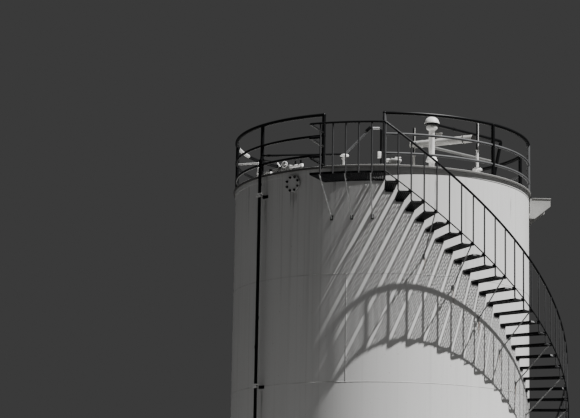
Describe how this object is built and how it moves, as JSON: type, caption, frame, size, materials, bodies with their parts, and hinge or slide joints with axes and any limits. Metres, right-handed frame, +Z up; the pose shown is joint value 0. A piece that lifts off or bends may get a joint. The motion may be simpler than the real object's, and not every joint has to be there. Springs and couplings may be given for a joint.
{
  "type": "vertical storage tank with spiral stair",
  "caption": "Upright welded steel storage tank with a shallow cone roof, roof guardrail, landing, open spiral stair, riser pipes and roof vents.",
  "frame": {"origin": "centre of the bottom plate's underside, on the tank's axis at ground level", "axes": "+Z up the tank's axis; -Y towards the side with the landing; +X towards the footbridge seat"},
  "size_m": [6.7348, 7.3306, 11.344],
  "materials": {
    "shell_paint": "satin",
    "roof_paint": "satin",
    "dark_paint": "satin",
    "white_paint": "satin",
    "galvanised": "matte",
    "bottom_steel": "matte"
  },
  "bodies": {
    "root": {"bottom_plate": "bottom_steel", "curb_angle": "shell_paint", "roof": "roof_paint", "landing_frame": "dark_paint", "landing_grating": "galvanised", "landing_rail": "dark_paint", "bridge_seat": "white_paint", "riser_pipes": "dark_paint", "shell_nozzle": "shell_paint", "outlet_nozzle": "shell_paint", "shell_manway": "shell_paint", "vent_stack": "white_paint", "breather_pipe": "white_paint", "small_vent": "white_paint", "gauge_hatch": "white_paint", "gauge_pole": "white_paint", "roof_pipework": "white_paint", "guardrail_left": "dark_paint", "guardrail_rear_left": "dark_paint", "guardrail_rear_right": "dark_paint", "guardrail_right": "dark_paint", "shell_course_1a": "shell_paint", "shell_course_1b": "shell_paint", "shell_course_2a": "shell_paint", "shell_course_2b": "shell_paint", "shell_course_3a": "shell_paint", "shell_course_3b": "shell_paint", "shell_course_4a": "shell_paint", "shell_course_4b": "shell_paint", "shell_course_5a": "shell_paint", "shell_course_5b": "shell_paint", "stair_flight_1": "dark_paint", "stair_rail_1": "dark_paint", "stair_flight_2": "dark_paint", "stair_rail_2": "dark_paint", "stair_flight_3": "dark_paint", "stair_rail_3": "dark_paint", "stair_flight_4": "dark_paint", "stair_rail_4": "dark_paint", "stair_flight_5": "dark_paint", "stair_rail_5": "dark_paint", "stair_flight_6": "dark_paint", "stair_rail_6": "dark_paint"}
  },
  "joints": []
}
